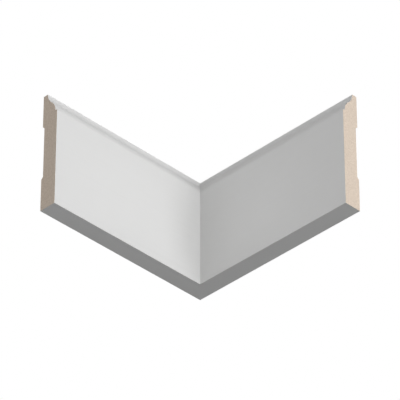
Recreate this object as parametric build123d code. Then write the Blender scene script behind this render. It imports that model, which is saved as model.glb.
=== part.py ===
from build123d import *
import os

# Skirting board round an inside corner of a room: two lengths of one moulded board, cut at
# 45 degrees where they meet and square at their outer ends. Sizes are in millimetres.
#
# The origin is the corner where both walls meet the floor. The room lies towards +X and -Y.
# The right board stands against the wall plane Y = 0 and runs along +X. The left board
# stands against the wall plane X = 0 and runs along -Y. Both rest on the floor at Z = 0.

# Overall sizes of the boards
board_height = 110.0
board_thickness = 16.0
leg_length = 174.0  # along the wall, from the corner to the square-cut end

# Moulded top: a flat step, then an ogee up to a narrow flat against the wall
moulding_height = 20.2
step_width = 2.0
top_flat_width = 4.8

# Shallow relief along the back, between two equal lands that touch the wall
relief_depth = 1.85
land_height = 29.7
relief_slope_height = 2.0  # the slope from a land down to the relief's floor

# Rounding of the long painted edges
face_edge_radius = 0.3
top_edge_radius = 0.2

# The mitre halves the room's right angle, and each board mirrors the other across it
mitre_plane = Plane(origin=(0, 0, 0), z_dir=(1, 1, 0))


def ogee(start, end):
    """Two equal arcs from start to end, upright at both ends and tangent where they meet."""
    middle = (start + end) / 2
    convex = TangentArc(start, middle, tangent=(0, 1))
    concave = TangentArc(middle, end, tangent=convex % 1)
    return [convex, concave]


def front_outline():
    """Front of the section, from the floor up to the top flat."""
    step_z = board_height - moulding_height
    ogee_start = Vector(board_thickness - step_width, step_z)
    ogee_end = Vector(top_flat_width, board_height)
    face_and_step = Polyline((0, 0), (board_thickness, 0), (board_thickness, step_z), ogee_start)
    return [face_and_step, *ogee(ogee_start, ogee_end)]


def back_outline():
    """Back of the section, from the top flat down to the floor, with the relief."""
    relief_top = board_height - land_height
    return Polyline(
        (top_flat_width, board_height),
        (0, board_height),
        (0, relief_top),
        (relief_depth, relief_top - relief_slope_height),
        (relief_depth, land_height + relief_slope_height),
        (0, land_height),
        (0, 0),
    )


def board_section():
    """Section of the board with X away from the wall and Y up, its painted edges eased."""
    section = make_face([*front_outline(), back_outline()])
    face_corners = section.vertices().group_by(Axis.X)[-1]
    section = fillet(face_corners, face_edge_radius)
    top_corner = section.vertices().sort_by_distance((top_flat_width, board_height))[0]
    return fillet(top_corner, top_edge_radius)


def right_board():
    """Board along +X, extruded from its square-cut end to the wall corner, then mitred."""
    end_plane = Plane(origin=(leg_length, 0, 0), x_dir=(0, -1, 0), z_dir=(-1, 0, 0))
    blank = extrude(end_plane * board_section(), amount=leg_length)
    return split(blank, bisect_by=mitre_plane, keep=Keep.TOP)


def boards():
    """Both boards by name, the left one mirrored from the right across the mitre."""
    right = right_board()
    return {
        "right_board": right,
        "left_board": mirror(right, about=mitre_plane),
    }


os.makedirs("parts", exist_ok=True)
for name, solid in boards().items():
    export_step(solid, f"parts/{name}.step")
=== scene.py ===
import math

import bmesh
import bpy
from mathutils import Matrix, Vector


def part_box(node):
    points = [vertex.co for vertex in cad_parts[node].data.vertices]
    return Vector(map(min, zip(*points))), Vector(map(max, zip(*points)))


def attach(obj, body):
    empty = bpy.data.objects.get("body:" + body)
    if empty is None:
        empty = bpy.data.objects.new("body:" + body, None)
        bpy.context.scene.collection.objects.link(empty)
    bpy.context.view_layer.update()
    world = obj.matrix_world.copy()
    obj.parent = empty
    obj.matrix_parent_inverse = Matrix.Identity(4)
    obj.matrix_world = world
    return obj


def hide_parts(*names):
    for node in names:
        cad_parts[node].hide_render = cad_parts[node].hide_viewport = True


# Inside corner of painted skirting board. Metres, in the frame's own axes: the wall corner is
# the origin, the right board runs along +X and the left one along -Y, and +Z is up.

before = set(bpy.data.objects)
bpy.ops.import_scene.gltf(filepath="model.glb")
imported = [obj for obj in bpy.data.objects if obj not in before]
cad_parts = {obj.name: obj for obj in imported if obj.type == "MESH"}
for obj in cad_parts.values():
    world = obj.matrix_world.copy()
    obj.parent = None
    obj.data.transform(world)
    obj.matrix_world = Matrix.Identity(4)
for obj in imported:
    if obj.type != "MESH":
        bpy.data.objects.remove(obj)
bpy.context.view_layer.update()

# Overall sizes, from the frame
board_lo, board_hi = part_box("right_board")
board_length = board_hi.x
board_thickness = -board_lo.y
board_height = board_hi.z

# Section, as in the solids
moulding_height = 0.0202
step_width = 0.0020
top_flat_width = 0.0048
relief_depth = 0.00185
land_height = 0.0297
relief_slope_height = 0.0020
face_edge_radius = 0.0003
top_edge_radius = 0.0002
step_z = board_height - moulding_height
relief_top = board_height - land_height

# Steps in each curve, rings along a board, and the bend in degrees that stays crisp in shading
ogee_steps = 40
edge_steps = 6
ring_count = 12
crisp_bend = 30

# Finishes, in the order of a board's material slots
PAINT, CUT, BACK = range(3)

# Colours of the finishes, linear. The tones are the darker and the lighter of a mottled ground.
black = (0, 0, 0, 1)
white = (1, 1, 1, 1)
primer_tones = ((0.792, 0.792, 0.786, 1), (0.808, 0.808, 0.804, 1))
primer_lines = (0.77, 0.77, 0.76, 1)
thin_primer = (0.66, 0.58, 0.50, 1)
chipped_primer = (0.70, 0.60, 0.50, 1)
crept_primer = (0.79, 0.785, 0.775, 1)
cut_tones = ((0.695, 0.583, 0.478, 1), (0.800, 0.684, 0.574, 1))
cut_fibres = (0.84, 0.73, 0.62, 1)
cut_flecks = (0.47, 0.36, 0.27, 1)
saw_marks = (0.66, 0.55, 0.45, 1)
back_tones = ((0.585, 0.470, 0.370, 1), (0.655, 0.540, 0.435, 1))
back_sanding = (0.69, 0.58, 0.48, 1)
back_fibres = (0.74, 0.63, 0.53, 1)
back_flecks = (0.38, 0.28, 0.20, 1)
back_relief = (0.74, 0.62, 0.51, 1)

# Faults of the primer: it is thin up to the first distance from an edge and whole from the second,
# the saw chipped it at the ends, and it crept onto the back
edge_thinning = (0.0002, 0.0009)
chip_depth = 0.00025
creep_reach = 0.0035

# Ripples that the cutter left in the relief, in radians per metre, which is one in 3.5 mm
ripple_rate = 1800

# Camera of the photograph, fitted to the object's outline
camera_azimuth = 45
camera_elevation = -35.4414
camera_distance = 2.88478
camera_aim = Vector((0, 0, 0.098102))
camera_side_step = -0.00008
camera_lens = 319.01
camera_sensor_width = 36

# Lamps, by azimuth and elevation in degrees. A level of 1 shows a surface that faces the lamp
# in its own colour. The distant ones end with their width in degrees, and the softboxes with
# their distance and width in metres. The rear one lights the backs and tops.
distant_lamps = (
    (0, 0, 0.142, 35),
    (120, -30, 0.114, 35),
    (120, 30, 0.067, 35),
    (330, -30, 0.087, 35),
)
rear_lamp = (225, 28, 0.9, 12)
softboxes = (
    (89, -1, 0.688, 1.8, 1.08),
    (45, -45, 0.168, 2.4, 1.2),
    (-15, 15, 0.140, 2.4, 1.2),
)
softbox_aim = Vector((0.06, -0.06, 0.05))

# Floor, just below the boards. It turns white between the two distances from the corner.
floor_gap = 0.0003
floor_radius = 6.0
floor_corners = 96
floor_fade = (0.35, 2.5)
floor_colour = (0.5, 0.5, 0.5, 1)
floor_glow = (0.62, 0.62, 0.62, 1)


def arc(centre, radius, start, end, steps):
    """Points along an arc in the section, from angle start to angle end in radians."""
    turn = (end - start) / steps
    angles = [start + turn * i for i in range(steps + 1)]
    return [(centre[0] + radius * math.cos(a), centre[1] + radius * math.sin(a)) for a in angles]


def ogee():
    """Convex arc up from the step, then an equal concave arc up to the top's rounded edge."""
    width = board_thickness - step_width - top_flat_width
    radius = (width**2 + moulding_height**2) / (4 * width)
    sweep = math.asin(moulding_height / 2 / radius)
    convex_centre = (board_thickness - step_width - radius, step_z)
    concave_centre = (top_flat_width + radius, board_height)
    edge_angle = math.asin(top_edge_radius / (radius + top_edge_radius))
    convex = arc(convex_centre, radius, 0, sweep, ogee_steps)
    concave = arc(concave_centre, radius, math.pi + sweep, math.pi + edge_angle, ogee_steps)
    reach = (radius + top_edge_radius) * math.cos(edge_angle)
    top_centre = (concave_centre[0] - reach, board_height - top_edge_radius)
    top_edge = arc(top_centre, top_edge_radius, edge_angle, math.pi / 2, edge_steps)
    return convex + concave[1:] + top_edge[1:]


def front_outline():
    """Painted outline, from the wall along the underside, up the face and over the moulding."""
    r = face_edge_radius
    lower = arc((board_thickness - r, r), r, -math.pi / 2, 0, edge_steps)
    upper = arc((board_thickness - r, step_z - r), r, 0, math.pi / 2, edge_steps)
    return [(0, 0)] + lower + upper + ogee() + [(0, board_height)]


def back_outline():
    """Bare outline, from the top down the back and round the relief."""
    return [
        (0, relief_top),
        (relief_depth, relief_top - relief_slope_height),
        (relief_depth, land_height + relief_slope_height),
        (0, land_height),
    ]


def add_rings(mesh, outline, place, side):
    """Rings of corners from the mitre to the square end, each with its position on the board.

    The sign of that position keeps the grain of the two boards apart.
    """
    on_board = mesh.verts.layers.float_vector.new("on_board")
    rings = []
    for k in range(ring_count + 1):
        share = k / ring_count
        ring = []
        for out, up in outline:
            along = out + (board_length - out) * share
            corner = mesh.verts.new(place(along, out, up))
            corner[on_board] = (along * side, out, up)
            ring.append(corner)
        rings.append(ring)
    return rings


def add_face(mesh, corners, finish, side):
    """Face that looks outwards, on the mirrored board too."""
    face = mesh.faces.new(corners if side > 0 else corners[::-1])
    face.material_index = finish
    face.smooth = finish != CUT


def add_shell(mesh, rings, finishes, side):
    """Strips between neighbouring rings, then the mitre and the square end."""
    for here, there in zip(rings, rings[1:]):
        for i, finish in enumerate(finishes):
            j = (i + 1) % len(finishes)
            add_face(mesh, [here[i], there[i], there[j], here[j]], finish, side)
    add_face(mesh, rings[0], CUT, side)
    add_face(mesh, rings[-1][::-1], CUT, side)
    mesh.normal_update()
    bmesh.ops.triangulate(mesh, faces=[f for f in mesh.faces if f.material_index == CUT])


def add_object(name, data):
    """New object in the scene that holds this data."""
    thing = bpy.data.objects.new(name, data)
    bpy.context.scene.collection.objects.link(thing)
    return thing


def mesh_object(name, mesh):
    """New object from an edited mesh, which is freed."""
    data = bpy.data.meshes.new(name)
    mesh.to_mesh(data)
    mesh.free()
    return add_object(name, data)


def add_board(name, place, side):
    """One board. place turns (along, out, up) into the frame's axes. side: 1 right, -1 left."""
    front, back = front_outline(), back_outline()
    finishes = [PAINT] * (len(front) - 1) + [BACK] * (len(back) + 1)
    mesh = bmesh.new()
    rings = add_rings(mesh, front + back, place, side)
    add_shell(mesh, rings, finishes, side)
    board = mesh_object(name, mesh)
    board.data.set_sharp_from_angle(angle=math.radians(crisp_bend))
    board.modifiers.new("flat faces stay flat", "WEIGHTED_NORMAL").keep_sharp = True
    return board


class Nodes:
    """Short calls for building the nodes of one material or world."""

    def __init__(self, owner):
        owner.use_nodes = True
        self.owner = owner
        self.tree = owner.node_tree
        self.tree.nodes.clear()

    def feed(self, socket, value):
        """Sets a socket to a number or colour, or links it to another node's output."""
        if isinstance(value, bpy.types.NodeSocket):
            self.tree.links.new(value, socket)
        else:
            socket.default_value = value

    def add(self, kind, inputs=(), **settings):
        """New node with these settings, its inputs fed by name or number."""
        node = self.tree.nodes.new("ShaderNode" + kind)
        for key, value in settings.items():
            setattr(node, key, value)
        for key, value in dict(inputs).items():
            self.feed(node.inputs[key], value)
        return node

    def noise(self, vector, scale, detail=2.0, roughness=0.5):
        """Noise about 0.5, with scale cells to a metre."""
        inputs = {"Vector": vector, "Scale": scale, "Detail": detail, "Roughness": roughness}
        return self.add("TexNoise", inputs).outputs["Fac"]

    def streaks(self, vector, scales, detail, roughness=0.5, turn=(0, 0, 0)):
        """Noise with its own scale on each axis, turned by angles in radians."""
        mapping = self.add("Mapping", {"Vector": vector, "Rotation": turn, "Scale": scales})
        return self.noise(mapping.outputs["Vector"], 1, detail, roughness)

    def math(self, operation, a, b=0.0):
        return self.add("Math", {0: a, 1: b}, operation=operation).outputs[0]

    def ramp(self, value, low, high, to_low=0.0, to_high=1.0):
        """Smooth change from to_low to to_high as value goes from low to high."""
        inputs = {0: value, 1: low, 2: high, 3: to_low, 4: to_high}
        return self.add("MapRange", inputs, interpolation_type="SMOOTHSTEP").outputs["Result"]

    def mix(self, share, a, b):
        """Colour from a to b. A mix node has its two colours as inputs 6 and 7."""
        return self.add("Mix", {0: share, 6: a, 7: b}, data_type="RGBA").outputs[2]

    def bump(self, height, depth, normal=None):
        """Normal of a relief whose height is a share of depth, in metres, on top of another."""
        node = self.add("Bump", {"Distance": depth, "Height": height})
        if normal is not None:
            self.feed(node.inputs["Normal"], normal)
        return node.outputs["Normal"]

    def on_board(self):
        """Position on a board in metres: along it, out from the wall, and up."""
        return self.add("Attribute", attribute_name="on_board").outputs["Vector"]

    def axes(self, vector):
        """The three numbers of a vector."""
        return self.add("SeparateXYZ", {0: vector}).outputs

    def finish(self, shader, output="OutputMaterial"):
        """Sends a shader to the output, and gives back the material or world."""
        self.add(output, {"Surface": shader.outputs[0]})
        return self.owner

    def surface(self, colour, roughness, normal):
        inputs = {"Base Color": colour, "Roughness": roughness, "Normal": normal}
        return self.finish(self.add("BsdfPrincipled", inputs))


def near_edges(n, place):
    """1 on the long painted edges, fading to 0 within a millimetre."""
    section = n.add("VectorMath", {0: place, 1: (0, 1, 1)}, operation="MULTIPLY").outputs[0]
    nearest = board_length  # further than any edge is
    for edge in ((board_thickness, 0), (board_thickness, step_z), (top_flat_width, board_height)):
        gap = n.add("VectorMath", {0: section, 1: (0, *edge)}, operation="DISTANCE")
        nearest = n.math("MINIMUM", gap.outputs["Value"], nearest)
    return n.ramp(nearest, *edge_thinning, 1, 0)


def saw_chips(n, place):
    """1 where the saw took the primer off at the square end, 0 elsewhere."""
    along = n.math("ABSOLUTE", n.axes(place)[0])
    from_end = n.math("SUBTRACT", board_length, along)
    bite = n.ramp(n.noise(place, 1500, 3), 0.5, 0.75, to_high=chip_depth)
    return n.math("LESS_THAN", from_end, bite)


def primer_material():
    """Sprayed white primer, a little thin on the edges and chipped by the saw at the ends."""
    n = Nodes(bpy.data.materials.new("white_primer"))
    place = n.on_board()
    clouds = n.noise(place, 38, 3)
    lines = n.streaks(place, (12, 800, 800), 3)
    skin = n.noise(place, 1500, 2, 0.6)
    patches = n.streaks(place, (160, 700, 700), 3)
    worn = n.math("MULTIPLY", near_edges(n, place), n.ramp(patches, 0.45, 0.7, to_high=0.12))
    colour = n.mix(clouds, *primer_tones)
    colour = n.mix(n.ramp(lines, 0.45, 0.8, to_high=0.3), colour, primer_lines)
    colour = n.mix(worn, colour, thin_primer)
    colour = n.mix(saw_chips(n, place), colour, chipped_primer)
    normal = n.bump(lines, 0.00001)
    normal = n.bump(skin, 0.00003, normal)
    roughness = n.ramp(n.noise(place, 120, 3), 0.3, 0.7, 0.48, 0.62)
    return n.surface(colour, roughness, normal)


def cut_material():
    """Sawn end of the fibreboard: mottled, flecked with short fibres, with faint saw marks."""
    n = Nodes(bpy.data.materials.new("sawn_fibreboard"))
    place = n.on_board()
    mottle = n.noise(place, 650, 3, 0.6)
    fibres = n.streaks(place, (2600, 2600, 900), 3, 0.6)
    flecks = n.streaks(place, (3400, 3400, 1500), 1, turn=(0.5, 0, 0))
    saw = n.streaks(place, (0, 40, 1100), 2, turn=(0.12, 0, 0))
    colour = n.mix(n.ramp(mottle, 0.3, 0.7), *cut_tones)
    colour = n.mix(n.ramp(fibres, 0.5, 0.75, to_high=0.5), colour, cut_fibres)
    colour = n.mix(n.ramp(flecks, 0.6, 0.72, to_high=0.6), colour, cut_flecks)
    colour = n.mix(n.ramp(saw, 0.4, 0.7, to_high=0.15), colour, saw_marks)
    normal = n.bump(saw, 0.00004)
    normal = n.bump(fibres, 0.00005, normal)
    roughness = n.ramp(mottle, 0.3, 0.7, 0.95, 0.84)
    return n.surface(colour, roughness, normal)


def primer_creep(n, place, up):
    """Cover of the primer that crept over the top and bottom edges onto the back."""
    from_edge = n.math("MINIMUM", up, n.math("SUBTRACT", board_height, up))
    spray = n.streaks(place, (220, 600, 600), 4, 0.65)
    reach = n.ramp(spray, 0.3, 0.75, to_high=creep_reach)
    return n.ramp(n.math("SUBTRACT", reach, from_edge), -0.0004, 0.0006, to_high=0.9)


def back_material():
    """Bare back: sanded lands, a rougher machined relief, and primer that crept over the edges."""
    n = Nodes(bpy.data.materials.new("bare_fibreboard"))
    place = n.on_board()
    along, out, up = n.axes(place)
    mottle = n.streaks(place, (90, 260, 260), 4, 0.6)
    fibres = n.streaks(place, (700, 2600, 2600), 3, 0.6)
    flecks = n.streaks(place, (1200, 2400, 2400), 1, turn=(0, 0.4, 0))
    sanding = n.streaks(place, (6, 700, 700), 3)
    in_relief = n.ramp(out, relief_depth * 0.2, relief_depth * 0.8)
    ripples = n.math("SINE", n.math("MULTIPLY", along, ripple_rate))
    colour = n.mix(n.ramp(mottle, 0.3, 0.7), *back_tones)
    colour = n.mix(n.ramp(sanding, 0.45, 0.7, to_high=0.5), colour, back_sanding)
    colour = n.mix(n.ramp(fibres, 0.5, 0.75, to_high=0.45), colour, back_fibres)
    colour = n.mix(n.ramp(flecks, 0.62, 0.74, to_high=0.6), colour, back_flecks)
    colour = n.mix(n.math("MULTIPLY", in_relief, 0.3), colour, back_relief)
    colour = n.mix(primer_creep(n, place, up), colour, crept_primer)
    normal = n.bump(n.math("MULTIPLY", ripples, in_relief), 0.00001)
    normal = n.bump(sanding, 0.00002, normal)
    normal = n.bump(fibres, 0.00003, normal)
    roughness = n.ramp(mottle, 0.3, 0.7, 0.9, 0.78)
    return n.surface(colour, roughness, normal)


def place_right(along, out, up):
    """Point of the right board, in the frame's axes."""
    return (along, -out, up)


def place_left(along, out, up):
    """Point of the left board, in the frame's axes."""
    return (out, -along, up)


def add_boards():
    """Both boards, each standing for its solid."""
    materials = (primer_material(), cut_material(), back_material())
    for name, place, side in (("right", place_right, 1), ("left", place_left, -1)):
        board = add_board(f"{name}_length", place, side)
        for material in materials:
            board.data.materials.append(material)
        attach(board, "root")
        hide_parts(f"{name}_board")


def direction(azimuth, elevation):
    """Unit vector towards an azimuth and elevation in degrees. Azimuth 0 is -Y, and 90 is +X."""
    a, e = math.radians(azimuth), math.radians(elevation)
    return Vector((math.sin(a) * math.cos(e), -math.cos(a) * math.cos(e), math.sin(e)))


def aim(thing, back):
    """Turns a camera or lamp so that back points away from what it faces."""
    thing.rotation_euler = back.to_track_quat("Z", "Y").to_euler()


def add_camera():
    """Camera of the photograph: below the boards, facing the corner."""
    camera = add_object("camera", bpy.data.cameras.new("camera"))
    back = direction(camera_azimuth, camera_elevation)
    right = direction(camera_azimuth + 90, 0)
    camera.location = camera_aim + right * camera_side_step + back * camera_distance
    aim(camera, back)
    camera.data.sensor_width = camera_sensor_width
    camera.data.lens = camera_lens
    bpy.context.scene.camera = camera


def add_lamp(kind, azimuth, elevation):
    """Lamp that shines from a direction and isn't seen itself."""
    name = f"lamp_{azimuth}_{elevation}"
    lamp = add_object(name, bpy.data.lights.new(name, kind))
    lamp.visible_camera = False
    aim(lamp, direction(azimuth, elevation))
    return lamp


def add_distant_lamp(azimuth, elevation, level, width):
    """Lamp so far off that its light comes from one direction, spread over its width."""
    lamp = add_lamp("SUN", azimuth, elevation)
    lamp.data.energy = math.pi * level
    lamp.data.angle = math.radians(width)
    return lamp


def add_softbox(azimuth, elevation, level, distance, width):
    """Round lamp near enough that its light falls off along the boards."""
    lamp = add_lamp("AREA", azimuth, elevation)
    lamp.location = softbox_aim + direction(azimuth, elevation) * distance
    lamp.data.shape = "DISK"
    lamp.data.size = width
    lamp.data.energy = level * (math.pi * distance) ** 2


def add_lamps():
    """Soft light, mostly level and from below, as the moulding and the underside show it."""
    for lamp in distant_lamps:
        add_distant_lamp(*lamp)
    for lamp in softboxes:
        add_softbox(*lamp)
    # No highlight from the rear, which would glare on the top flats
    add_distant_lamp(*rear_lamp).visible_glossy = False


def set_world():
    """White, for the camera and in reflections only. The lamps give all other light."""
    bpy.context.scene.world = bpy.data.worlds.new("studio")
    n = Nodes(bpy.context.scene.world)
    path = n.add("LightPath").outputs
    seen = n.math("MAXIMUM", path["Is Camera Ray"], path["Is Glossy Ray"])
    seen = n.math("MAXIMUM", seen, path["Is Transmission Ray"])
    n.finish(n.add("Background", {"Color": white, "Strength": seen}), "OutputWorld")


def floor_material():
    """Pale floor that takes shadows and fades to white far off. From below it is clear."""
    n = Nodes(bpy.data.materials.new("pale_floor"))
    position = n.add("TexCoord").outputs["Object"]
    away = n.add("VectorMath", {0: position}, operation="LENGTH").outputs["Value"]
    near = n.ramp(away, *floor_fade, 1, 0)
    matt = n.add("BsdfDiffuse", {"Color": n.mix(near, black, floor_colour)})
    glow = n.add("Emission", {"Color": n.mix(near, white, floor_glow)})
    pale = n.add("AddShader", {0: matt.outputs[0], 1: glow.outputs[0]})
    clear = n.add("BsdfTransparent")
    from_above = n.math("SUBTRACT", 1, n.add("NewGeometry").outputs["Backfacing"])
    shown = n.math("MULTIPLY", from_above, n.add("LightPath").outputs["Is Camera Ray"])
    return n.finish(n.add("MixShader", {0: shown, 1: clear.outputs[0], 2: pale.outputs[0]}))


def add_floor():
    """Round floor just under the boards."""
    mesh = bmesh.new()
    bmesh.ops.create_circle(mesh, cap_ends=True, segments=floor_corners, radius=floor_radius)
    floor = mesh_object("floor", mesh)
    floor.location.z = -floor_gap
    floor.data.materials.append(floor_material())


add_boards()
add_floor()
add_camera()
add_lamps()
set_world()
bpy.context.scene.view_settings.view_transform = "Standard"
